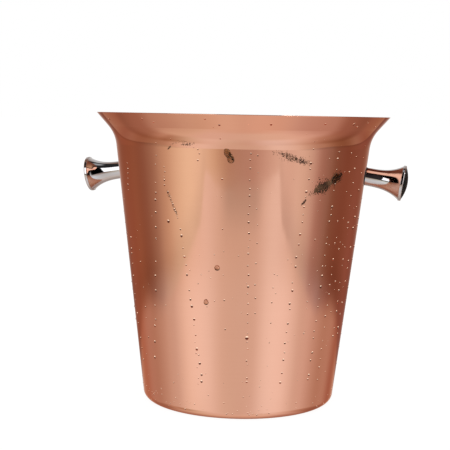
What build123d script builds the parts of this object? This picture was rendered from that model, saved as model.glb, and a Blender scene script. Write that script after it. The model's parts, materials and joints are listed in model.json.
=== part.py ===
from build123d import *

import os
from math import cos, radians, sin, tan

# Ice bucket: a single-wall bucket drawn from sheet steel, with a flared lip, a flat foot ring and a
# trumpet knob screwed to each side. Millimetres, +Z up. The origin is on the table under the centre
# of the base, and the knobs lie along the X axis.

# Bucket. The side is a cone, the lip a wider cone, and an arc joins them.
RIM_RADIUS = 115.2  # to the corner that the rounding takes off
HEIGHT = 226.5
WALL = 0.8
FOOT_RADIUS = 75.2  # where the line of the side would meet the table
SIDE_LEAN = 6.94  # degrees from vertical
LIP_LEAN = 41.2  # degrees from vertical
FLARE_RADIUS = 25.9
CLOSING_LINE = 67.0  # where the turned faces close up, in degrees from the right knob to the back
CORNER_RADIUS = 6.7
RIM_ROUNDING = 0.2

# Centre of the base, pressed up so that the bucket stands on a ring.
PANEL_RADIUS = 55.0
PANEL_RISE = 2.2
PANEL_STEP = 5.0
PANEL_ROUNDING = 4.0

# Knob: lengths along its axis are counted outwards from the outside of the wall.
KNOB_HEIGHT = 180.7
KNOB_DROOP = 9.0  # degrees below level, a little more than square to the wall
KNOB_LENGTH = 30.2
STEM_RADIUS = 7.0
MOUTH_RADIUS = 13.2  # where the flare meets the bead round the mouth
FLARE_POWER = 3.2  # how late the stem swells into the mouth
FLARE_POINTS = 7
STEM_FLOOR = 1.2
STEM_SKIN = 1.2
BORE_LENGTH = 11.0
BEAD_RADIUS = 13.8
BEAD_WIDTH = 2.4
BEAD_ROUNDINGS = [0.5, 0.7]  # behind, in front

# End cap: a domed disc set in a shallow seat in the mouth.
CAP_RADIUS = 12.4
CAP_RISE = 2.9
CAP_SKIN = 1.2
CAP_SEAT_DEPTH = 0.8
CAP_LEDGE = 1.1

# Fixing, an M5 screw 16 mm long from the inside of the bucket.
SLIP = 0.02  # radial gap round a piece that is pushed in
INSERT_LENGTH = 10.0
THREAD_RADIUS = 2.5
THREAD_GAP = 0.05
SCREW_LENGTH = 16.0
SCREW_POINT = 0.6
HEAD_RADIUS = 4.9
HEAD_HEIGHT = 3.6
HEAD_CROWN_RADIUS = 7.0
RECESS_SPAN = 4.6
RECESS_WIDTH = 1.1
RECESS_DEPTH = 2.2
RECESS_TAPER = 8.0
WALL_HOLE_RADIUS = 3.0
SCREW_HOLE_RADIUS = 2.75
GASKET_THICKNESS = 0.8
SEAL_RADIUS = 7.5
SEAL_THICKNESS = 1.3
FLAT_WASHER_RADIUS = 7.0
FLAT_WASHER_THICKNESS = 1.0
SPRING_WASHER_RADIUS = 4.6
SPRING_WASHER_THICKNESS = 1.2
SPRING_WASHER_GAP = 0.9
SPRING_WASHER_SLANT = 20.0

# Places along the knob's axis, worked out from the thicknesses between them.
MOUTH = KNOB_LENGTH
BEAD_BACK = MOUTH - BEAD_WIDTH
STEM_END = GASKET_THICKNESS
BORE_FLOOR = STEM_END + STEM_FLOOR
SEAL_FACE = -WALL - SEAL_THICKNESS
FLAT_WASHER_FACE = SEAL_FACE - FLAT_WASHER_THICKNESS
HEAD_FACE = FLAT_WASHER_FACE - SPRING_WASHER_THICKNESS

ON_BASE = (Align.CENTER, Align.CENTER, Align.MIN)
NEAR = 0.01  # how close to a height an edge counts as lying at it


def side_radius(height):
    """Outside radius of the conical side at a height."""
    return FOOT_RADIUS + height * tan(radians(SIDE_LEAN))


def side_cone(inset):
    """A solid cone the size of the side, its surface moved inwards by inset."""
    shift = inset / cos(radians(SIDE_LEAN))
    return Cone(side_radius(0) - shift, side_radius(HEIGHT) - shift, HEIGHT, align=ON_BASE)


def rod(radius, start, end):
    """A round rod along the knob's axis."""
    return Pos(0, 0, start) * Cylinder(radius, end - start, align=ON_BASE)


def ring(outer_radius, inner_radius, start, end):
    """A round tube or washer along the knob's axis."""
    return rod(outer_radius, start, end) - rod(inner_radius, start, end)


def edges_at(solid, height):
    """The edges of a solid that lie at one height."""
    return solid.edges().filter_by_position(Axis.Z, height - NEAR, height + NEAR)


def make_bucket():
    """The drawn bucket before its screw holes are punched, with its lip trimmed level."""
    lip_slope = tan(radians(LIP_LEAN))
    side_slope = tan(radians(SIDE_LEAN))
    knee = (RIM_RADIUS - HEIGHT * lip_slope - FOOT_RADIUS) / (side_slope - lip_slope)
    trim = 2 * WALL
    corners = [
        (0, PANEL_RISE),
        (PANEL_RADIUS, PANEL_RISE),
        (PANEL_RADIUS + PANEL_STEP, 0),
        (FOOT_RADIUS, 0),
        (side_radius(knee), knee),
        (RIM_RADIUS + trim * lip_slope, HEIGHT + trim),
    ]
    roundings = [PANEL_ROUNDING, PANEL_ROUNDING, CORNER_RADIUS, FLARE_RADIUS]
    outside = FilletPolyline(*corners, radius=roundings)
    sheet = make_face(offset(outside, amount=WALL, side=Side.LEFT))
    bucket = Rot(0, 0, CLOSING_LINE) * revolve(Plane.XZ * sheet, Axis.Z)
    bucket = split(bucket, bisect_by=Plane.XY.offset(HEIGHT), keep=Keep.BOTTOM)
    return fillet(edges_at(bucket, HEIGHT), RIM_ROUNDING)


def make_knob():
    """The trumpet: a bore with a floor at the wall end, and a beaded mouth with a seat for the cap."""
    step = (BEAD_BACK - STEM_END) / (FLARE_POINTS - 1)
    places = [STEM_END + i * step for i in range(FLARE_POINTS)]
    swell = MOUTH_RADIUS - STEM_RADIUS
    flare = [(STEM_RADIUS + swell * (place / BEAD_BACK) ** FLARE_POWER, place) for place in places]
    bead = [flare[-1], (BEAD_RADIUS, BEAD_BACK), (BEAD_RADIUS, MOUTH), (CAP_RADIUS, MOUTH)]
    bore_radius = STEM_RADIUS - STEM_SKIN
    bore_end = BORE_FLOOR + BORE_LENGTH
    seat = MOUTH - CAP_SEAT_DEPTH
    ledge_radius = CAP_RADIUS - CAP_LEDGE
    profile = [
        Spline(*flare),
        FilletPolyline(*bead, radius=BEAD_ROUNDINGS),
        Polyline((CAP_RADIUS, MOUTH), (CAP_RADIUS, seat), (ledge_radius, seat)),
        Spline((bore_radius, bore_end), (ledge_radius, seat), tangents=[(0, 1), (1, 1)]),
        Polyline(
            (bore_radius, bore_end),
            (bore_radius, BORE_FLOOR),
            (SCREW_HOLE_RADIUS, BORE_FLOOR),
            (SCREW_HOLE_RADIUS, STEM_END),
            flare[0],
        ),
    ]
    return revolve(Plane.XZ * make_face(Curve() + profile), Axis.Z)


def make_end_cap():
    """A dished disc that stands proud of the mouth."""
    radius = CAP_RADIUS - SLIP
    dome_radius = (radius**2 + CAP_RISE**2) / (2 * CAP_RISE)
    skin = Sphere(dome_radius) - Sphere(dome_radius - CAP_SKIN)
    dome = Pos(0, 0, MOUTH + CAP_RISE - dome_radius) * skin
    return dome & rod(radius, MOUTH - CAP_SEAT_DEPTH, MOUTH + CAP_RISE)


def make_screw():
    """A pan-head screw, its head inside the bucket and its shank through the wall into the insert."""
    crown = Pos(0, 0, HEAD_FACE - HEAD_HEIGHT + HEAD_CROWN_RADIUS) * Sphere(HEAD_CROWN_RADIUS)
    head = rod(HEAD_RADIUS, HEAD_FACE - HEAD_HEIGHT, HEAD_FACE) & crown
    shank = rod(THREAD_RADIUS - THREAD_GAP, HEAD_FACE, HEAD_FACE + SCREW_LENGTH)
    shank = chamfer(edges_at(shank, HEAD_FACE + SCREW_LENGTH), SCREW_POINT)
    cross = Rectangle(RECESS_SPAN, RECESS_WIDTH) + Rectangle(RECESS_WIDTH, RECESS_SPAN)
    cross = Pos(0, 0, HEAD_FACE - HEAD_HEIGHT) * cross
    recess = extrude(cross, amount=RECESS_DEPTH, taper=RECESS_TAPER)
    return head + shank - recess


def make_spring_washer():
    """A split washer pressed flat, its ends cut on a slant."""
    washer = ring(SPRING_WASHER_RADIUS, THREAD_RADIUS + THREAD_GAP, HEAD_FACE, FLAT_WASHER_FACE)
    middle = (HEAD_FACE + FLAT_WASHER_FACE) / 2
    length = 2 * SPRING_WASHER_RADIUS
    depth = 2 * SPRING_WASHER_THICKNESS
    blade = Box(length, SPRING_WASHER_GAP, depth, align=(Align.MIN, Align.CENTER, Align.CENTER))
    return washer - Pos(0, 0, middle) * Rot(SPRING_WASHER_SLANT, 0, 0) * blade


def wall_frame():
    """Where the knob's axis leaves the right-hand side of the wall, and which way it points."""
    droop = radians(KNOB_DROOP)
    start = (side_radius(KNOB_HEIGHT), 0, KNOB_HEIGHT)
    return Plane(origin=start, x_dir=(0, 1, 0), z_dir=(cos(droop), 0, -sin(droop))).location


def handle_pieces():
    """Each piece of the right-hand knob and its fixing, in place on the bucket."""
    on_wall = wall_frame()
    gasket_blank = ring(STEM_RADIUS, THREAD_RADIUS, -WALL, STEM_END)
    seal_blank = ring(SEAL_RADIUS, THREAD_RADIUS, SEAL_FACE, 0)
    washer = ring(FLAT_WASHER_RADIUS, SCREW_HOLE_RADIUS, FLAT_WASHER_FACE, SEAL_FACE)
    insert_radius = STEM_RADIUS - STEM_SKIN - SLIP
    insert = ring(insert_radius, THREAD_RADIUS, BORE_FLOOR, BORE_FLOOR + INSERT_LENGTH)
    return {
        "knob": on_wall * make_knob(),
        "knob_end_cap": on_wall * make_end_cap(),
        "threaded_insert": on_wall * insert,
        "outer_gasket": on_wall * gasket_blank - side_cone(0),
        "inner_seal": on_wall * seal_blank & side_cone(WALL),
        "flat_washer": on_wall * washer,
        "spring_washer": on_wall * make_spring_washer(),
        "handle_screw": on_wall * make_screw(),
    }


def punch():
    """The right-hand screw hole, long enough to pass through the slanted wall."""
    return wall_frame() * rod(WALL_HOLE_RADIUS, -WALL_HOLE_RADIUS, WALL_HOLE_RADIUS)


def save(name, shape):
    export_step(shape, f"parts/{name}.step")


os.makedirs("parts", exist_ok=True)
opposite = Rot(0, 0, 180)
save("bucket_shell", make_bucket() - punch() - opposite * punch())
for name, piece in handle_pieces().items():
    save(name + "_right", piece)
    save(name + "_left", opposite * piece)
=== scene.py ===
import json
import math
import random

import bmesh
import bpy
from mathutils import Matrix, Vector


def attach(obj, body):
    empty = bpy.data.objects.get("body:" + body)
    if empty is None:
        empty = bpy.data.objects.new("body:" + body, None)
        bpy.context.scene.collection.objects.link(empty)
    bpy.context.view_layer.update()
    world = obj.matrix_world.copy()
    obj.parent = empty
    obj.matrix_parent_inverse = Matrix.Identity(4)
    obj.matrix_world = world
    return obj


# An ice bucket in rose-copper plate with two chrome trumpet knobs, wet with condensation, on a white
# studio floor. Metres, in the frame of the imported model: +Z up, knobs along X, front towards -Y.

MM = 0.001

# Camera: level with the rim, a little to the right of the front.
CAMERA_AZIMUTH = 10.83  # degrees from the front, towards +X
CAMERA_DISTANCE = 897 * MM
CAMERA_HEIGHT = 226.9 * MM
CAMERA_PAN = -0.825
CAMERA_TILT = -5.62
CAMERA_ROLL = 1.105
LENS = 90.4
SENSOR = 36.0

# Outside of the bucket, where the condensation lies.
RIM_RADIUS = 115.2 * MM
HEIGHT = 226.5 * MM
FOOT_RADIUS = 75.2 * MM
SIDE_LEAN = math.radians(6.94)
LIP_LEAN = math.radians(41.2)
FLARE_RADIUS = 25.9 * MM

SIDE_SLOPE = math.tan(SIDE_LEAN)
LIP_SLOPE = math.tan(LIP_LEAN)
KNEE = (RIM_RADIUS - HEIGHT * LIP_SLOPE - FOOT_RADIUS) / (SIDE_SLOPE - LIP_SLOPE)
KNEE_RADIUS = FOOT_RADIUS + KNEE * SIDE_SLOPE
FLARE_TANGENT = FLARE_RADIUS * math.tan((LIP_LEAN - SIDE_LEAN) / 2)
FLARE_START = KNEE - FLARE_TANGENT * math.cos(SIDE_LEAN)
FLARE_END = KNEE + FLARE_TANGENT * math.cos(LIP_LEAN)
FLARE_CENTRE_HEIGHT = FLARE_START - FLARE_RADIUS * math.sin(SIDE_LEAN)
FLARE_CENTRE_RADIUS = (
    KNEE_RADIUS - FLARE_TANGENT * math.sin(SIDE_LEAN) + FLARE_RADIUS * math.cos(SIDE_LEAN)
)


class Graph:
    """Short names for building one node tree."""

    def __init__(self, tree):
        self.tree = tree
        tree.nodes.clear()

    def add(self, kind, **settings):
        node = self.tree.nodes.new(kind)
        for name, value in settings.items():
            setattr(node, name, value)
        return node

    def put(self, socket, value):
        """Links a socket's value in, or sets a plain number or colour."""
        if isinstance(value, bpy.types.NodeSocket):
            self.tree.links.new(value, socket)
        else:
            socket.default_value = value

    def math(self, operation, *values):
        node = self.add("ShaderNodeMath", operation=operation)
        for socket, value in zip(node.inputs, values):
            self.put(socket, value)
        return node.outputs[0]

    def ramp(self, value, low, high, start=0.0, end=1.0):
        """A smooth rise from start to end as value goes from low to high."""
        node = self.add("ShaderNodeMapRange", interpolation_type="SMOOTHSTEP")
        for name, entry in (
            ("Value", value),
            ("From Min", low),
            ("From Max", high),
            ("To Min", start),
            ("To Max", end),
        ):
            self.put(node.inputs[name], entry)
        return node.outputs["Result"]

    def mix(self, factor, first, second, blend="MIX"):
        node = self.add("ShaderNodeMix", data_type="RGBA", blend_type=blend)
        self.put(node.inputs["Factor"], factor)
        self.put(node.inputs["A"], first)
        self.put(node.inputs["B"], second)
        return node.outputs["Result"]

    def blend(self, factor, first, second):
        """Two shaders mixed."""
        node = self.add("ShaderNodeMixShader")
        self.put(node.inputs[0], factor)
        self.tree.links.new(first, node.inputs[1])
        self.tree.links.new(second, node.inputs[2])
        return node.outputs[0]

    def noise(self, vector, scale, detail=2.0, roughness=0.5):
        node = self.add("ShaderNodeTexNoise")
        self.put(node.inputs["Vector"], vector)
        self.put(node.inputs["Scale"], scale)
        self.put(node.inputs["Detail"], detail)
        self.put(node.inputs["Roughness"], roughness)
        return node.outputs["Fac"]

    def bump(self, height, distance, normal=None):
        node = self.add("ShaderNodeBump")
        self.put(node.inputs["Height"], height)
        self.put(node.inputs["Distance"], distance)
        if normal:
            self.put(node.inputs["Normal"], normal)
        return node.outputs["Normal"]

    def dot(self, first, second):
        """The sum of the products of two pairs."""
        products = [self.math("MULTIPLY", one, other) for one, other in zip(first, second)]
        return self.math("ADD", *products)

    def split(self, vector):
        node = self.add("ShaderNodeSeparateXYZ")
        self.put(node.inputs[0], vector)
        return node.outputs

    def stretch(self, scale):
        """Object coordinates scaled along each axis."""
        node = self.add("ShaderNodeMapping")
        self.put(node.inputs["Vector"], self.add("ShaderNodeTexCoord").outputs["Object"])
        self.put(node.inputs["Scale"], scale)
        return node.outputs["Vector"]


def rgba(red, green, blue):
    return (red, green, blue, 1.0)


def grey(value):
    return (value, value, value, 1.0)


def make_camera():
    camera = bpy.data.objects.new("camera", bpy.data.cameras.new("camera"))
    bpy.context.scene.collection.objects.link(camera)
    camera.data.sensor_width = SENSOR
    camera.data.lens = LENS
    camera.data.clip_start = 0.01
    turn = Matrix.Rotation(math.radians(CAMERA_AZIMUTH), 4, "Z")
    aim = Matrix.Rotation(math.radians(-CAMERA_PAN), 4, "Z")
    tilt = Matrix.Rotation(math.radians(90 + CAMERA_TILT), 4, "X")
    roll = Matrix.Rotation(math.radians(CAMERA_ROLL), 4, "Z")
    place = Matrix.Translation((0, -CAMERA_DISTANCE, CAMERA_HEIGHT))
    camera.matrix_world = turn @ place @ aim @ tilt @ roll
    bpy.context.scene.camera = camera


# The studio that the polished metal mirrors, by direction: azimuth from the camera, to its right, in
# degrees, then the light. SWEEP is the white sweep in front, DRAPE the cloth that hangs above it,
# TABLE, EDGE and FOOT the table from further off to right under the lip, and OVERHEAD what is above
# the horizon.
SWEEP = (
    (-180, 0.90, 0.84, 0.80),
    (-158, 0.72, 0.60, 0.52),
    (-142, 0.58, 0.37, 0.30),
    (-124, 0.57, 0.40, 0.35),
    (-106, 0.55, 0.40, 0.34),
    (-88, 0.68, 0.57, 0.52),
    (-74, 0.78, 0.71, 0.68),
    (-62, 0.97, 0.94, 0.92),
    (-48, 1.04, 1.04, 1.05),
    (-33, 0.97, 0.97, 0.98),
    (-20, 0.83, 0.79, 0.76),
    (0, 0.79, 0.75, 0.72),
    (17, 0.83, 0.79, 0.77),
    (28, 0.98, 0.99, 1.01),
    (42, 1.05, 1.07, 1.11),
    (56, 0.98, 0.97, 0.99),
    (68, 0.82, 0.76, 0.74),
    (84, 0.74, 0.63, 0.60),
    (104, 0.57, 0.42, 0.36),
    (124, 0.58, 0.43, 0.38),
    (142, 0.50, 0.31, 0.26),
    (158, 0.72, 0.60, 0.52),
    (180, 0.90, 0.84, 0.80),
)
DRAPE = (
    (-180, 0.58, 0.50, 0.45),
    (-162, 0.36, 0.24, 0.20),
    (-142, 0.39, 0.22, 0.17),
    (-120, 0.34, 0.18, 0.125),
    (-100, 0.34, 0.20, 0.15),
    (-84, 0.50, 0.37, 0.29),
    (-66, 0.76, 0.67, 0.53),
    (-50, 0.95, 0.93, 0.78),
    (-37, 0.92, 0.89, 0.77),
    (-24, 0.73, 0.64, 0.51),
    (-14, 0.56, 0.44, 0.35),
    (0, 0.54, 0.42, 0.37),
    (14, 0.62, 0.50, 0.46),
    (30, 0.78, 0.71, 0.68),
    (44, 0.82, 0.76, 0.73),
    (60, 0.76, 0.70, 0.66),
    (74, 0.48, 0.35, 0.31),
    (90, 0.30, 0.18, 0.14),
    (104, 0.28, 0.14, 0.105),
    (122, 0.31, 0.16, 0.125),
    (142, 0.33, 0.18, 0.155),
    (162, 0.36, 0.24, 0.22),
    (180, 0.58, 0.50, 0.45),
)
TABLE = (
    (-180, 0.52, 0.42, 0.38),
    (-155, 0.50, 0.36, 0.30),
    (-133, 0.42, 0.26, 0.21),
    (-105, 0.46, 0.30, 0.235),
    (-90, 0.60, 0.44, 0.36),
    (-76, 0.56, 0.42, 0.33),
    (-57, 0.76, 0.71, 0.62),
    (-35, 0.91, 0.87, 0.86),
    (-13, 0.80, 0.77, 0.73),
    (8, 0.79, 0.73, 0.71),
    (32, 0.94, 0.95, 1.00),
    (55, 0.91, 0.86, 0.86),
    (78, 0.66, 0.51, 0.45),
    (104, 0.46, 0.29, 0.23),
    (133, 0.38, 0.22, 0.18),
    (155, 0.45, 0.32, 0.27),
    (180, 0.52, 0.42, 0.38),
)
EDGE = (
    (-180, 0.52, 0.42, 0.38),
    (-117, 0.56, 0.42, 0.36),
    (-100, 0.68, 0.56, 0.48),
    (-70, 0.79, 0.71, 0.62),
    (-45, 0.84, 0.76, 0.73),
    (0, 0.81, 0.75, 0.71),
    (42, 0.87, 0.81, 0.77),
    (68, 0.84, 0.74, 0.71),
    (92, 0.70, 0.56, 0.53),
    (117, 0.56, 0.40, 0.36),
    (180, 0.52, 0.42, 0.38),
)
FOOT = (
    (-180, 0.62, 0.52, 0.46),
    (-90, 0.71, 0.58, 0.49),
    (-60, 0.82, 0.71, 0.63),
    (0, 0.79, 0.66, 0.59),
    (60, 0.83, 0.68, 0.61),
    (90, 0.76, 0.61, 0.54),
    (180, 0.62, 0.52, 0.46),
)
OVERHEAD = (
    (-180, 0.80, 0.78, 0.76),
    (-150, 0.42, 0.32, 0.28),
    (-128, 0.30, 0.16, 0.11),
    (-84, 0.30, 0.20, 0.16),
    (-60, 0.08, 0.06, 0.06),
    (-16, 0.04, 0.03, 0.03),
    (28, 0.04, 0.03, 0.03),
    (36, 1.50, 1.48, 1.46),
    (74, 1.40, 1.38, 1.36),
    (84, 0.22, 0.14, 0.11),
    (128, 0.26, 0.14, 0.11),
    (150, 0.42, 0.32, 0.28),
    (180, 0.80, 0.78, 0.76),
)
# The table is white as far as SHEET_EDGE: where its white starts to end, and where it has ended. What
# the metal mirrors further out on it is dimmed by the darker room, by azimuth.
SURROUND = (
    (-180, 0.80, 0.82, 0.84),
    (-140, 0.78, 0.80, 0.82),
    (-125, 0.72, 0.68, 0.66),
    (-110, 0.74, 0.63, 0.55),
    (-95, 0.68, 0.53, 0.43),
    (-80, 0.66, 0.53, 0.43),
    (-65, 0.76, 0.64, 0.54),
    (-50, 0.88, 0.82, 0.76),
    (-35, 0.94, 0.90, 0.87),
    (-20, 0.97, 0.95, 0.93),
    (0, 0.96, 0.93, 0.90),
    (20, 0.97, 0.96, 0.95),
    (35, 0.89, 0.87, 0.85),
    (50, 0.82, 0.76, 0.70),
    (65, 0.72, 0.61, 0.54),
    (80, 0.59, 0.46, 0.36),
    (95, 0.52, 0.38, 0.28),
    (110, 0.65, 0.55, 0.47),
    (125, 0.80, 0.77, 0.74),
    (140, 0.78, 0.74, 0.70),
    (180, 0.80, 0.82, 0.84),
)
SHEET_EDGE = (275 * MM, 450 * MM)
TABLE_SIZE = 60
FLOOR_GLOW_LIGHT = 1.04
FLOOR_GLOW = 0.9  # the share of the floor's white that doesn't depend on what stands on it

# Elevations between which one part of the studio gives way to the next.
FOOT_TO_EDGE = (-76.0, -62.0)
EDGE_TO_TABLE = (-50.0, -41.0)
TABLE_TO_SWEEP = (-32.0, -25.5)
DRAPE_TO_OVERHEAD = (-11.0, -3.0)
TABLE_ENDS = (-0.5, -0.3)

# A white card in front, to the camera's left, which the knobs mirror: its edges from left to right and
# from bottom to top, how far in front of the axis it stands, and its light.
CARD_SIDES = (-760 * MM, -185 * MM)
CARD_RISE = (195 * MM, 790 * MM)
CARD_AHEAD = 530 * MM
CARD_LIGHT = 1.9

# The dark ceiling: the elevation where it begins in front and behind, and where, in degrees to either
# side, it goes from one to the other.
CEILING_LIGHT = 0.03
CEILING_FRONT = 48
CEILING_BACK = 62
CEILING_TURN = (80, 110)
CEILING_BLEND = 5.0

# A grey panel right overhead, which lights the inside: where it starts to show, where it's full.
PANEL_EDGE = (74, 84)
PANEL_LIGHT = 0.5

# A small lamp near the ceiling, which glints on the inside and the drops.
LAMP_AZIMUTH = 52
LAMP_ELEVATION = 58
LAMP_RADIUS = 4.5
LAMP_SOFT_RADIUS = 6.3
LAMP_LIGHT = 14.0

# The drape's hem: azimuth to either side, elevation.
HEM = (
    (0, -17.6),
    (15, -17.45),
    (20, -17.2),
    (26, -16.9),
    (31, -16.4),
    (34, -16.3),
    (36, -17.0),
    (39, -18.3),
    (45, -18.9),
    (60, -19.6),
    (80, -19.6),
    (95, -18.6),
    (110, -16.8),
    (130, -15.2),
    (180, -14.0),
)
HEM_LOW = -20.0
HEM_HIGH = -13.0
# How soft the hem is in front and behind, and where, to either side, it goes from one to the other.
HEM_SHARP = 0.3
HEM_SOFT = 0.9
HEM_SOFTER = (60, 100)
HEM_BLEND = (-1.0, 0.6)

# The sweep darkens in the shade just under the middle of the drape, and the drape darkens just over
# the rest of its hem: how far above the hem, where to either side, and how much.
SHADE_RISE = (-3.0, -0.2)
SHADE_SIDES = (11, 24)
SHADE_DEPTH = 0.24
FOLD_RISE = (0.3, 2.8)
FOLD_SIDES = (30, 42)
FOLD_DEPTH = 0.17

# What the camera sees past the bucket, what lights the matt surfaces, and how much brighter than the
# ramps' full white the lightest part of the studio may be.
CAMERA_WHITE = 1.0
ROOM_WHITE = 1.16
GAIN = 2.0


def stops_ramp(graph, value, stops):
    """A smooth curve through (position, colour) stops."""
    ramp = graph.add("ShaderNodeValToRGB")
    graph.put(ramp.inputs["Fac"], value)
    ramp.color_ramp.interpolation = "CARDINAL"
    elements = ramp.color_ramp.elements
    while len(elements) < len(stops):
        elements.new(0.5)
    for element, (position, colour) in zip(elements, stops):
        element.position = position
        element.color = colour
    return ramp.outputs["Color"]


def round_the_room(graph, turn, stops, gain=GAIN):
    """Light by azimuth, divided by gain to keep it under the ramp's full white."""
    lights = []
    for azimuth, *light in stops:
        lights.append((azimuth / 360 + 0.5, rgba(*(channel / gain for channel in light))))
    return stops_ramp(graph, turn, lights)


def studio_axes(graph, vector):
    """A vector's parts along the studio's axes, which face the camera, and the vector itself."""
    turned = graph.add("ShaderNodeVectorRotate", rotation_type="Z_AXIS")
    graph.put(turned.inputs["Vector"], vector)
    graph.put(turned.inputs["Angle"], math.radians(-CAMERA_AZIMUTH))
    return *graph.split(turned.outputs[0]), turned.outputs[0]


def azimuth_of(graph, x, y):
    """Degrees from the camera's side to its right, and the same as 0 to 1 round the room."""
    azimuth = graph.math("DEGREES", graph.math("ARCTAN2", x, graph.math("MULTIPLY", y, -1.0)))
    return azimuth, graph.math("ADD", graph.math("DIVIDE", azimuth, 360.0), 0.5)


def direction_to(azimuth, elevation):
    turn, rise = math.radians(azimuth), math.radians(elevation)
    return (math.sin(turn) * math.cos(rise), -math.cos(turn) * math.cos(rise), math.sin(rise))


def half_turns(angles):
    """Degrees to either side as a share of half a turn, 0 in front and 1 behind."""
    return [angle / 180 for angle in angles]


def hem_height(graph, aside):
    """Elevation of the drape's hem."""
    heights = []
    for azimuth_aside, height in HEM:
        share = (height - HEM_LOW) / (HEM_HIGH - HEM_LOW)
        heights.append((azimuth_aside / 180, grey(share)))
    return graph.math("MULTIPLY_ADD", stops_ramp(graph, aside, heights), HEM_HIGH - HEM_LOW, HEM_LOW)


def lamp_glow(graph, direction):
    """1 inside the lamp, 0 off it."""
    facing = graph.add("ShaderNodeVectorMath", operation="DOT_PRODUCT")
    graph.put(facing.inputs[0], direction)
    facing.inputs[1].default_value = direction_to(LAMP_AZIMUTH, LAMP_ELEVATION)
    inside = math.cos(math.radians(LAMP_RADIUS))
    outside = math.cos(math.radians(LAMP_SOFT_RADIUS))
    return graph.ramp(facing.outputs["Value"], outside, inside)


def make_studio():
    world = bpy.data.worlds.new("studio")
    bpy.context.scene.world = world
    world.use_nodes = True
    world.cycles.sampling_method = "NONE"
    graph = Graph(world.node_tree)
    direction = graph.add("ShaderNodeTexCoord").outputs["Generated"]
    x, y, z, turned = studio_axes(graph, direction)
    azimuth, turn = azimuth_of(graph, x, y)
    elevation = graph.math("DEGREES", graph.math("ARCSINE", z))

    aside = graph.math("DIVIDE", graph.math("ABSOLUTE", azimuth), 180.0)
    above = graph.math("SUBTRACT", elevation, hem_height(graph, aside))
    soft = graph.ramp(aside, *half_turns(HEM_SOFTER), HEM_SHARP, HEM_SOFT)
    over = graph.ramp(graph.math("DIVIDE", above, soft), *HEM_BLEND)
    middle = graph.ramp(aside, *half_turns(SHADE_SIDES), SHADE_DEPTH, 0.0)
    shade = graph.math("MULTIPLY", graph.ramp(above, *SHADE_RISE), middle)
    sides = graph.ramp(aside, *half_turns(FOLD_SIDES), 0.0, FOLD_DEPTH)
    fold = graph.math("MULTIPLY", graph.ramp(above, *FOLD_RISE, 1.0, 0.0), sides)

    light = round_the_room(graph, turn, FOOT)
    light = graph.mix(graph.ramp(elevation, *FOOT_TO_EDGE), light, round_the_room(graph, turn, EDGE))
    light = graph.mix(graph.ramp(elevation, *EDGE_TO_TABLE), light, round_the_room(graph, turn, TABLE))
    sweep = graph.mix(shade, round_the_room(graph, turn, SWEEP), grey(0))
    light = graph.mix(graph.ramp(elevation, *TABLE_TO_SWEEP), light, sweep)
    drape = graph.mix(fold, round_the_room(graph, turn, DRAPE), grey(0))
    overhead = round_the_room(graph, turn, OVERHEAD)
    upper = graph.mix(graph.ramp(elevation, *DRAPE_TO_OVERHEAD), drape, overhead)
    # Down to the horizon the table's SURROUND lies in front of this part, so it's made up for here.
    dimmed = graph.ramp(elevation, *TABLE_ENDS, 1.0, 0.0)
    upper = graph.mix(dimmed, upper, round_the_room(graph, turn, SURROUND, 1.0), "DIVIDE")
    light = graph.mix(over, light, upper)
    ceiling = graph.ramp(aside, *half_turns(CEILING_TURN), CEILING_FRONT, CEILING_BACK)
    high = graph.ramp(graph.math("SUBTRACT", elevation, ceiling), 0.0, CEILING_BLEND)
    light = graph.mix(high, light, grey(CEILING_LIGHT / GAIN))
    light = graph.mix(graph.ramp(elevation, *PANEL_EDGE), light, grey(PANEL_LIGHT / GAIN))
    light = graph.mix(lamp_glow(graph, turned), light, grey(LAMP_LIGHT / GAIN))

    path = graph.add("ShaderNodeLightPath")
    light = graph.mix(path.outputs["Is Diffuse Ray"], light, grey(ROOM_WHITE / GAIN))
    light = graph.mix(path.outputs["Is Camera Ray"], light, grey(CAMERA_WHITE / GAIN))
    background = graph.add("ShaderNodeBackground")
    graph.put(background.inputs["Color"], light)
    background.inputs["Strength"].default_value = GAIN
    output = graph.add("ShaderNodeOutputWorld")
    graph.put(output.inputs["Surface"], background.outputs[0])
    view = bpy.context.scene.view_settings
    view.view_transform = "Standard"
    view.look = "None"


def empty_material(name):
    material = bpy.data.materials.new(name)
    material.use_nodes = True
    return material, Graph(material.node_tree)


def show(graph, surface):
    output = graph.add("ShaderNodeOutputMaterial")
    graph.put(output.inputs["Surface"], surface)


def new_material(name):
    material, graph = empty_material(name)
    shader = graph.add("ShaderNodeBsdfPrincipled")
    show(graph, shader.outputs[0])
    return material, graph, shader


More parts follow.
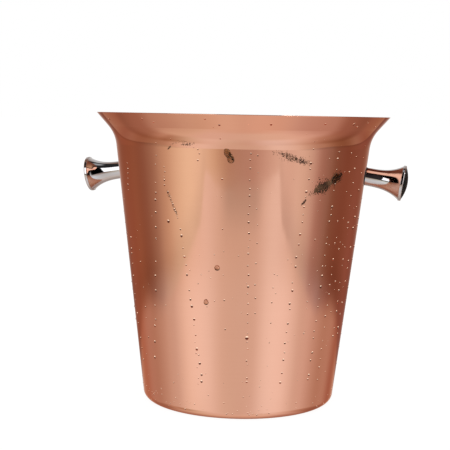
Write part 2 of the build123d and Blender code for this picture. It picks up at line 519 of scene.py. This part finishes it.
def make_floor():
    """A white floor to the eye. What the metal and the water mirror passes through it to the studio."""
    material, graph = empty_material("floor_white")
    shader = graph.add("ShaderNodeBsdfPrincipled")
    grain = graph.noise(graph.stretch((1, 1, 1)), 40.0)
    graph.put(shader.inputs["Base Color"], graph.mix(grain, rgba(0.93, 0.93, 0.93), rgba(0.97, 0.97, 0.97)))
    shader.inputs["Roughness"].default_value = 0.9
    shader.inputs["Specular IOR Level"].default_value = 0.0
    glow = graph.add("ShaderNodeEmission")
    glow.inputs["Strength"].default_value = FLOOR_GLOW_LIGHT
    white = graph.blend(FLOOR_GLOW, shader.outputs[0], glow.outputs[0])

    x, y, _, _ = studio_axes(graph, graph.add("ShaderNodeTexCoord").outputs["Object"])
    _, turn = azimuth_of(graph, x, y)
    far = graph.ramp(graph.math("SQRT", graph.dot((x, y), (x, y))), *SHEET_EDGE)
    through = graph.add("ShaderNodeBsdfTransparent")
    dimming = round_the_room(graph, turn, SURROUND, 1.0)
    graph.put(through.inputs["Color"], graph.mix(far, grey(1), dimming))

    path = graph.add("ShaderNodeLightPath")
    seen = graph.math("MAXIMUM", path.outputs["Is Camera Ray"], path.outputs["Is Diffuse Ray"])
    show(graph, graph.blend(seen, through.outputs[0], white))
    bpy.ops.mesh.primitive_plane_add(size=TABLE_SIZE)
    floor = bpy.context.object
    floor.name = "floor"
    floor.data.materials.append(material)


def make_card():
    material, graph = empty_material("card_white")
    weave = graph.noise(graph.stretch((1, 1, 1)), 30.0)
    light = graph.add("ShaderNodeEmission")
    graph.put(light.inputs["Color"], graph.mix(weave, rgba(0.96, 0.97, 1.0), rgba(1.0, 1.0, 1.0)))
    light.inputs["Strength"].default_value = CARD_LIGHT
    show(graph, light.outputs[0])
    (left, right), (bottom, top) = CARD_SIDES, CARD_RISE
    edge = [(left, 0, bottom), (right, 0, bottom), (right, 0, top), (left, 0, top)]
    data = bpy.data.meshes.new("card")
    data.from_pydata(edge, [], [range(len(edge))])
    data.materials.append(material)
    card = bpy.data.objects.new("card", data)
    bpy.context.scene.collection.objects.link(card)
    turn = Matrix.Rotation(math.radians(CAMERA_AZIMUTH), 4, "Z")
    card.matrix_world = turn @ Matrix.Translation((0, -CARD_AHEAD, 0))
    card.visible_camera = False
    card.visible_diffuse = False
    card.visible_transmission = False
    card.visible_shadow = False


def turned_normal(graph):
    """The normal squared up to the bucket's axis, so that the turned sheet shows no line where it closes."""
    x, y, _ = graph.split(graph.add("ShaderNodeTexCoord").outputs["Object"])
    across, along, up = graph.split(graph.add("ShaderNodeNewGeometry").outputs["Normal"])
    radius = graph.math("SQRT", graph.dot((x, y), (x, y)))
    outward = graph.dot((across, along), (x, y))
    level = graph.math("SQRT", graph.math("SUBTRACT", 1.0, graph.math("MULTIPLY", up, up)))
    share = graph.math("DIVIDE", graph.math("MULTIPLY", graph.math("SIGN", outward), level), radius)
    squared = graph.add("ShaderNodeCombineXYZ")
    graph.put(squared.inputs["X"], graph.math("MULTIPLY", x, share))
    graph.put(squared.inputs["Y"], graph.math("MULTIPLY", y, share))
    graph.put(squared.inputs["Z"], up)
    return squared.outputs[0]


def copper_plate():
    """Rose-copper plate over polished steel: almost a mirror, with faint waves left by the spinning."""
    material, graph, shader = new_material("copper_plate")
    cloudy = graph.noise(graph.stretch((9, 9, 3)), 6.0, 3.0)
    rings = graph.noise(graph.stretch((4, 4, 160)), 5.0, 2.0)
    tone = graph.math("MULTIPLY_ADD", rings, 0.35, graph.math("MULTIPLY", cloudy, 0.65))
    graph.put(
        shader.inputs["Base Color"],
        graph.mix(tone, rgba(0.805, 0.432, 0.304), rgba(0.855, 0.472, 0.338)),
    )
    shader.inputs["Metallic"].default_value = 1.0
    shader.inputs["Specular Tint"].default_value = rgba(0.80, 0.55, 0.47)
    smudges = graph.noise(graph.stretch((30, 30, 12)), 4.0, 4.0)
    graph.put(shader.inputs["Roughness"], graph.ramp(smudges, 0.3, 0.75, 0.04, 0.085))
    waves = graph.noise(graph.stretch((22, 22, 11)), 1.0, 2.0, 0.4)
    graph.put(shader.inputs["Normal"], graph.bump(waves, 0.00003, turned_normal(graph)))
    return material


def chrome():
    """Hard chrome plate with a trace of haze."""
    material, graph, shader = new_material("knob_chrome")
    haze = graph.noise(graph.stretch((60, 60, 60)), 5.0, 3.0)
    graph.put(shader.inputs["Base Color"], graph.mix(haze, rgba(0.58, 0.57, 0.58), rgba(0.63, 0.62, 0.63)))
    shader.inputs["Metallic"].default_value = 1.0
    graph.put(shader.inputs["Roughness"], graph.ramp(haze, 0.3, 0.7, 0.03, 0.06))
    return material


def cap_black():
    """Black plastic with a fine grain of green-grey flecks."""
    material, graph, shader = new_material("cap_black")
    flecks = graph.noise(graph.stretch((1, 1, 1)), 1500.0, 2.0)
    graph.put(
        shader.inputs["Base Color"],
        graph.mix(graph.ramp(flecks, 0.52, 0.66), rgba(0.0050, 0.0072, 0.0068), rgba(0.030, 0.040, 0.037)),
    )
    shader.inputs["Specular IOR Level"].default_value = 0.025
    graph.put(shader.inputs["Roughness"], graph.ramp(flecks, 0.4, 0.7, 0.30, 0.45))
    graph.put(shader.inputs["Normal"], graph.bump(flecks, 0.00004))
    return material


def fastener_steel():
    """Stainless steel with fine turning marks round the fixing's axis."""
    material, graph, shader = new_material("fastener_steel")
    turning = graph.noise(graph.stretch((20, 400, 400)), 6.0, 3.0)
    graph.put(shader.inputs["Base Color"], graph.mix(turning, rgba(0.50, 0.50, 0.51), rgba(0.68, 0.68, 0.69)))
    shader.inputs["Metallic"].default_value = 1.0
    graph.put(shader.inputs["Roughness"], graph.ramp(turning, 0.3, 0.7, 0.2, 0.35))
    return material


def insert_brass():
    """Turned brass."""
    material, graph, shader = new_material("insert_brass")
    turning = graph.noise(graph.stretch((400, 20, 20)), 6.0, 3.0)
    graph.put(shader.inputs["Base Color"], graph.mix(turning, rgba(0.62, 0.42, 0.16), rgba(0.78, 0.57, 0.27)))
    shader.inputs["Metallic"].default_value = 1.0
    shader.inputs["Roughness"].default_value = 0.3
    return material


def seal_rubber():
    """Black rubber with a faint bloom."""
    material, graph, shader = new_material("seal_rubber")
    bloom = graph.noise(graph.stretch((1, 1, 1)), 700.0, 3.0)
    black = graph.mix(bloom, rgba(0.012, 0.012, 0.012), rgba(0.03, 0.03, 0.031))
    graph.put(shader.inputs["Base Color"], black)
    shader.inputs["Roughness"].default_value = 0.6
    return material


MAKERS = {
    "copper_plate": copper_plate,
    "knob_chrome": chrome,
    "cap_black": cap_black,
    "fastener_steel": fastener_steel,
    "insert_brass": insert_brass,
    "seal_rubber": seal_rubber,
}

WATER_IOR = 1.333
PAINTED_GLINT_FACING = (0.22, 0.38)  # how far up a bead faces where its painted highlight starts, and where it is full
# The painted highlight's own glow, though it is no lamp.
PAINTED_GLINT_GLOW = 0.5
# The share of a bead outside its painted highlight that lets light through; the rest is the dark red-brown of
# the painted shade.
BEAD_CLEARNESS = 0.6


def water():
    """Condensation: water tinted dark red-brown as painted shade, with a painted highlight that glows along
    the top of each drop, where it faces up.
    """
    material, graph, shader = new_material("condensation")
    frost = graph.noise(graph.stretch((1, 1, 1)), 260.0, 2.0)
    _, _, upward = graph.split(graph.add("ShaderNodeNewGeometry").outputs["Normal"])
    # Painted highlight: where a bead faces up, it is made pale, opaque and glowing.
    painted_glint = graph.ramp(upward, *PAINTED_GLINT_FACING)
    # Painted shade: the rest of each bead is tinted dark red-brown.
    clear = graph.mix(frost, rgba(0.20, 0.05, 0.025), rgba(0.42, 0.17, 0.11))
    graph.put(shader.inputs["Base Color"], graph.mix(painted_glint, clear, rgba(1.0, 0.78, 0.60)))
    graph.put(shader.inputs["Transmission Weight"], graph.ramp(painted_glint, 0.0, 1.0, BEAD_CLEARNESS, 0.0))
    graph.put(shader.inputs["Emission Color"], graph.mix(painted_glint, grey(0), rgba(1.0, 0.66, 0.46)))
    shader.inputs["Emission Strength"].default_value = PAINTED_GLINT_GLOW
    graph.put(shader.inputs["Roughness"], graph.ramp(frost, 0.5, 0.8, 0.0, 0.06))
    shader.inputs["IOR"].default_value = WATER_IOR
    shader.inputs["Specular IOR Level"].default_value = 0.15
    return material


def clear_water():
    """A larger drop, clear enough to show the metal."""
    material, graph, shader = new_material("clear_water")
    ripple = graph.noise(graph.stretch((1, 1, 1)), 500.0, 2.0)
    graph.put(shader.inputs["Base Color"], graph.mix(ripple, rgba(0.80, 0.70, 0.63), rgba(0.92, 0.85, 0.80)))
    shader.inputs["Roughness"].default_value = 0.0
    shader.inputs["IOR"].default_value = WATER_IOR
    shader.inputs["Transmission Weight"].default_value = 1.0
    return material


def film():
    """A film of water with tarnish in it, olive where it's thin."""
    material, graph, shader = new_material("wet_film")
    cloud = graph.noise(graph.stretch((1, 1, 1)), 420.0, 3.0)
    graph.put(shader.inputs["Base Color"], graph.mix(cloud, rgba(0.50, 0.43, 0.30), rgba(0.84, 0.74, 0.58)))
    shader.inputs["Roughness"].default_value = 0.08
    shader.inputs["IOR"].default_value = WATER_IOR
    shader.inputs["Transmission Weight"].default_value = 1.0
    return material


def wet_smear():
    """Water wiped about by a finger, near black in places and brown in others."""
    material, graph, shader = new_material("wet_smear")
    grains = graph.noise(graph.stretch((1, 1, 1)), 900.0, 2.0)
    patches = graph.noise(graph.stretch((1, 1, 1)), 75.0, 1.0)
    dark = graph.mix(grains, rgba(0.006, 0.003, 0.002), rgba(0.045, 0.020, 0.012))
    brown = graph.mix(grains, rgba(0.075, 0.035, 0.018), rgba(0.190, 0.100, 0.052))
    graph.put(shader.inputs["Base Color"], graph.mix(graph.ramp(patches, 0.42, 0.62), dark, brown))
    graph.put(shader.inputs["Roughness"], graph.ramp(grains, 0.3, 0.7, 0.12, 0.3))
    shader.inputs["Specular IOR Level"].default_value = 0.2
    shader.inputs["IOR"].default_value = WATER_IOR
    return material


# Condensation gathers in columns down the outside. Each row: azimuth (from the front towards +X,
# degrees) and height (mm) where it starts and ends, number of beads, bead radius (mm).
FRONT_COLUMNS = (
    (-28, 208, -33, 130, 9, 0.75),
    (-33.5, 121, -42, 36, 8, 0.85),
    (-24.5, 190, -25, 172, 5, 0.65),
    (-23, 170, -18.5, 150, 12, 0.55),
    (-18, 147, -8.6, 23, 17, 0.75),
    (-7.4, 203, -7.4, 193, 3, 0.6),
    (1.5, 214, 4, 60, 8, 0.5),
    (14, 202, 14.6, 110, 15, 0.6),
    (14.7, 106, 15.5, 25, 12, 0.6),
    (17, 203, 18.5, 75, 10, 0.5),
    (41.6, 211, 38, 131, 12, 0.75),
    (37.7, 126, 34.3, 26, 13, 0.75),
    (27, 120, 26, 40, 6, 0.5),
    (48, 196, 46, 60, 8, 0.5),
    (56, 207, 52.8, 22, 23, 0.75),
    (61.4, 150, 61.4, 24, 16, 0.75),
    (65, 205, 66, 70, 9, 0.6),
    (69.5, 199, 72.5, 53, 16, 0.75),
    (79, 187, 79, 50, 13, 0.95),
    (-57, 135, -61, 97, 5, 0.8),
    (-51, 189, -54, 166, 6, 0.6),
    (-63, 92, -58, 30, 7, 0.75),
    (-48, 150, -47, 45, 7, 0.5),
    (-12, 60, -11, 20, 5, 0.45),
)
# Single beads: azimuth, height, radius, how much longer than wide.
SINGLE_BEADS = (
    (-24, 148, 1.0, 1.3),
    (14.9, 64, 1.2, 1.2),
    (-55, 221, 0.8, 1.2),
    (-30, 222, 0.7, 1.3),
    (-25, 220, 0.6, 1.0),
    (-3, 223, 0.7, 1.0),
    (2, 219, 0.8, 1.1),
    (21, 220, 0.8, 1.2),
    (42.6, 221, 0.8, 1.0),
    (57, 221, 1.0, 1.3),
    (60.6, 219, 0.8, 1.0),
    (66, 222, 0.7, 1.2),
    (76, 219, 0.8, 1.2),
)
# Larger drops that the metal shows through: azimuth, height, radius, how much longer than wide.
CLEAR_DROPS = (
    (0, 116, 1.9, 1.1),
    (-5.7, 90, 1.7, 1.3),
    (151, 128, 1.8, 1.2),
    (205, 84, 1.7, 1.2),
    (256, 140, 1.9, 1.1),
)
BACK_COLUMN_STEP = 9.5  # degrees between the columns round the back
BACK_FROM = 88
BACK_TO = 288
FOOT_BEADS = 190
STRAY_BEADS = 150
LOWEST_BEAD = 4
CONTACT = math.radians(62)  # how steeply a bead meets the metal
BEAD_SINK = 0.03 * MM
BEAD_HANG = 0.10  # how much wider a bead's lower half is
BEAD_SIDES = 14
BEAD_RINGS = 5
CLEAR_DROP_SIDES = 28
CLEAR_DROP_RINGS = 8
CLEAR_DROP_FLATNESS = 0.7

# Wiped smears: azimuth and height where each starts and ends, half its width (mm), number of specks,
# and the least and the most radius of a speck (mm).
SMEARS = (
    (-22.3, 200.5, -18.5, 205.6, 0.9, 90, 0.12, 0.24),
    (-19.5, 205.4, -12.5, 206.9, 1.0, 130, 0.12, 0.24),
    (-15.5, 204.2, -9.0, 205.6, 1.4, 190, 0.12, 0.30),
    (22.5, 201.0, 42.0, 192.0, 2.9, 230, 0.12, 0.24),
    (27.0, 199.2, 34.5, 194.6, 2.9, 230, 0.13, 0.32),
    (33.5, 195.2, 39.5, 192.6, 2.2, 190, 0.12, 0.28),
    (43.6, 172.6, 53.6, 178.2, 4.4, 900, 0.16, 0.40),
    (51.8, 178.2, 60.0, 184.2, 4.2, 640, 0.14, 0.34),
    (41.0, 169.5, 46.0, 173.5, 2.4, 110, 0.12, 0.24),
    (-24.3, 172.5, -20.4, 159.6, 1.2, 75, 0.10, 0.20),
    (-21.6, 162.0, -18.6, 152.5, 1.2, 95, 0.10, 0.22),
    (37.9, 162.2, 40.0, 166.6, 0.9, 90, 0.14, 0.32),
    (5.3, 200.0, 7.2, 193.5, 1.1, 150, 0.12, 0.26),
)
SPECK_SIDES = 7
SPECK_RINGS = 2
SPECK_FLATNESS = 0.55

# A thin film left by a wiped drop: azimuth, height, half width (mm), how much longer than wide, tilt.
FILMS = (
    (4.6, 199.4, 2.2, 1.6, 0.42),
    (5.9, 195.4, 2.3, 1.5, 0.36),
    (55.8, 181.2, 3.0, 1.5, -0.95),
)
FILM_SIDES = 32
FILM_RINGS = 8
FILM_FLATNESS = 0.16


def outline(height):
    """Radius of the outside at a height, and how far it leans out from the vertical."""
    if height < FLARE_START:
        return FOOT_RADIUS + height * SIDE_SLOPE, SIDE_LEAN
    if height > FLARE_END:
        return RIM_RADIUS - (HEIGHT - height) * LIP_SLOPE, LIP_LEAN
    rise = height - FLARE_CENTRE_HEIGHT
    lean = math.asin(rise / FLARE_RADIUS)
    return FLARE_CENTRE_RADIUS - FLARE_RADIUS * math.cos(lean), lean


def on_wall(azimuth, height):
    """A place on the outside: its centre, then the directions along, up and out of the metal."""
    radius, lean = outline(height)
    turn = math.radians(azimuth)
    outward = Vector((math.sin(turn), -math.cos(turn), 0))
    along = Vector((math.cos(turn), math.sin(turn), 0))
    up = outward * math.sin(lean) + Vector((0, 0, math.cos(lean)))
    normal = outward * math.cos(lean) - Vector((0, 0, math.sin(lean)))
    return outward * radius + Vector((0, 0, height)), along, up, normal


def add_bead(
    mesh, azimuth, height, radius, longer=1.0, tilt=0.0, flat=1.0, sides=BEAD_SIDES, ring_count=BEAD_RINGS
):
    """One drop: a cap of a sphere, a little fuller below than above, its edge just inside the metal."""
    centre, along, up, normal = on_wall(azimuth, height)
    side = along * math.cos(tilt) + up * math.sin(tilt)
    rise = up * math.cos(tilt) - along * math.sin(tilt)
    curve = radius / math.sin(CONTACT)
    rings = []
    for ring in range(ring_count):
        angle = CONTACT * (1 - ring / ring_count)
        reach = curve * math.sin(angle)
        lift = curve * (math.cos(angle) - math.cos(CONTACT)) * flat - BEAD_SINK
        points = []
        for step in range(sides):
            turn = 2 * math.pi * step / sides
            hang = 1.0 + BEAD_HANG * (1 - math.sin(turn)) * (1 - ring / ring_count)
            across = reach * math.cos(turn) * hang
            upright = reach * math.sin(turn) * longer
            points.append(mesh.verts.new(centre + side * across + rise * upright + normal * lift))
        rings.append(points)
    crown = curve * (1 - math.cos(CONTACT)) * flat - BEAD_SINK
    top = mesh.verts.new(centre + normal * crown)
    for lower, upper in zip(rings, rings[1:]):
        for step in range(sides):
            after = (step + 1) % sides
            mesh.faces.new((lower[step], lower[after], upper[after], upper[step]))
    for step in range(sides):
        mesh.faces.new((rings[-1][step], rings[-1][(step + 1) % sides], top))
    mesh.faces.new(tuple(reversed(rings[0])))


def add_column(mesh, dice, column):
    start, top, end, bottom, count, radius = column
    for step in range(count):
        share = (step + dice.uniform(0.15, 0.85)) / count
        azimuth = start + (end - start) * share + dice.gauss(0, 0.22)
        height = top + (bottom - top) * share
        size = radius * dice.uniform(0.62, 1.25)
        add_bead(mesh, azimuth, height * MM, size * MM, dice.uniform(0.95, 1.35))


def finish_piece(mesh, name, material):
    data = bpy.data.meshes.new(name)
    mesh.normal_update()
    for face in mesh.faces:
        face.smooth = len(face.verts) < BEAD_SIDES
    mesh.to_mesh(data)
    mesh.free()
    data.materials.append(material)
    piece = bpy.data.objects.new(name, data)
    bpy.context.scene.collection.objects.link(piece)
    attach(piece, "root")
    return piece


def make_beads():
    dice = random.Random(7)
    mesh = bmesh.new()
    for column in FRONT_COLUMNS:
        add_column(mesh, dice, column)
    for azimuth, height, radius, longer in SINGLE_BEADS:
        add_bead(mesh, azimuth, height * MM, radius * MM, longer)
    azimuth = BACK_FROM
    while azimuth < BACK_TO:
        lean = dice.uniform(-4, 4)
        top = dice.uniform(150, 208)
        bottom = dice.uniform(20, 60)
        count = round((top - bottom) / dice.uniform(7, 14))
        add_column(mesh, dice, (azimuth, top, azimuth + lean, bottom, count, dice.uniform(0.55, 0.85)))
        azimuth += BACK_COLUMN_STEP * dice.uniform(0.6, 1.4)
    for _ in range(FOOT_BEADS):
        height = LOWEST_BEAD + dice.expovariate(1 / 7)
        add_bead(mesh, dice.uniform(-180, 180), height * MM, dice.uniform(0.25, 0.5) * MM)
    for _ in range(STRAY_BEADS):
        height = dice.uniform(20, 221)
        add_bead(mesh, dice.uniform(-180, 180), height * MM, dice.uniform(0.2, 0.45) * MM)
    return finish_piece(mesh, "condensation_beads", water())


def make_smears():
    dice = random.Random(11)
    mesh = bmesh.new()
    for start, low, end, high, half_width, count, least, most in SMEARS:
        middle = (low + high) / 2
        per_degree = outline(middle * MM)[0] / MM * math.pi / 180
        run = (end - start) * per_degree
        tilt = math.atan2(high - low, run)
        for _ in range(count):
            share = dice.betavariate(1.7, 1.7)
            off = dice.gauss(0, 0.5) * half_width * (0.45 + 0.55 * math.sin(math.pi * share))
            azimuth = start + (end - start) * share - off * math.sin(tilt) / per_degree
            height = low + (high - low) * share + off * math.cos(tilt)
            size = dice.triangular(least, most, least)
            turn = tilt + dice.gauss(0, 0.5) - math.pi / 2
            longer = dice.uniform(1.0, 2.0)
            add_bead(
                mesh, azimuth, height * MM, size * MM, longer, turn, SPECK_FLATNESS, SPECK_SIDES, SPECK_RINGS
            )
    return finish_piece(mesh, "wiped_smears", wet_smear())


def make_clear_drops():
    mesh = bmesh.new()
    for azimuth, height, radius, longer in CLEAR_DROPS:
        add_bead(
            mesh,
            azimuth,
            height * MM,
            radius * MM,
            longer,
            flat=CLEAR_DROP_FLATNESS,
            sides=CLEAR_DROP_SIDES,
            ring_count=CLEAR_DROP_RINGS,
        )
    return finish_piece(mesh, "clear_drops", clear_water())


def make_films():
    mesh = bmesh.new()
    for azimuth, height, half_width, longer, tilt in FILMS:
        size = half_width * MM
        add_bead(mesh, azimuth, height * MM, size, longer, tilt, FILM_FLATNESS, FILM_SIDES, FILM_RINGS)
    return finish_piece(mesh, "wiped_films", film())


# Kept out of mirror images, as in a studio picture that has been cleaned up.
NOT_MIRRORED = ("knob", "knob_end_cap", "outer_gasket", "threaded_insert", "handle_screw")


def dress_nodes(frame):
    made = {slot: maker() for slot, maker in MAKERS.items()}
    for name in NOT_MIRRORED:
        for side in ("left", "right"):
            frame["nodes"][f"{name}_{side}"].visible_glossy = False
    for subpart in frame["record"]["subparts"]:
        node = frame["nodes"][subpart["node"]]
        for holder in node.material_slots:
            holder.material = made[subpart["material_slot"]]


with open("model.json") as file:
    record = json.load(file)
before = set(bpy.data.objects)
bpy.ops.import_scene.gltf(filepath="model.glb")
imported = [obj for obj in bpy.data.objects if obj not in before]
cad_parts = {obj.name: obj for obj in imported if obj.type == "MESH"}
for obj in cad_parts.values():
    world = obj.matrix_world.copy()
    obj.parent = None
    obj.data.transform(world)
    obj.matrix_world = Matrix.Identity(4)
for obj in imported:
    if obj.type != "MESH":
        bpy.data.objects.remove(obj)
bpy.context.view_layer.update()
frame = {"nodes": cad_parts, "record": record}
make_camera()
make_studio()
make_floor()
make_card()
dress_nodes(frame)
make_beads()
make_clear_drops()
make_smears()
make_films()
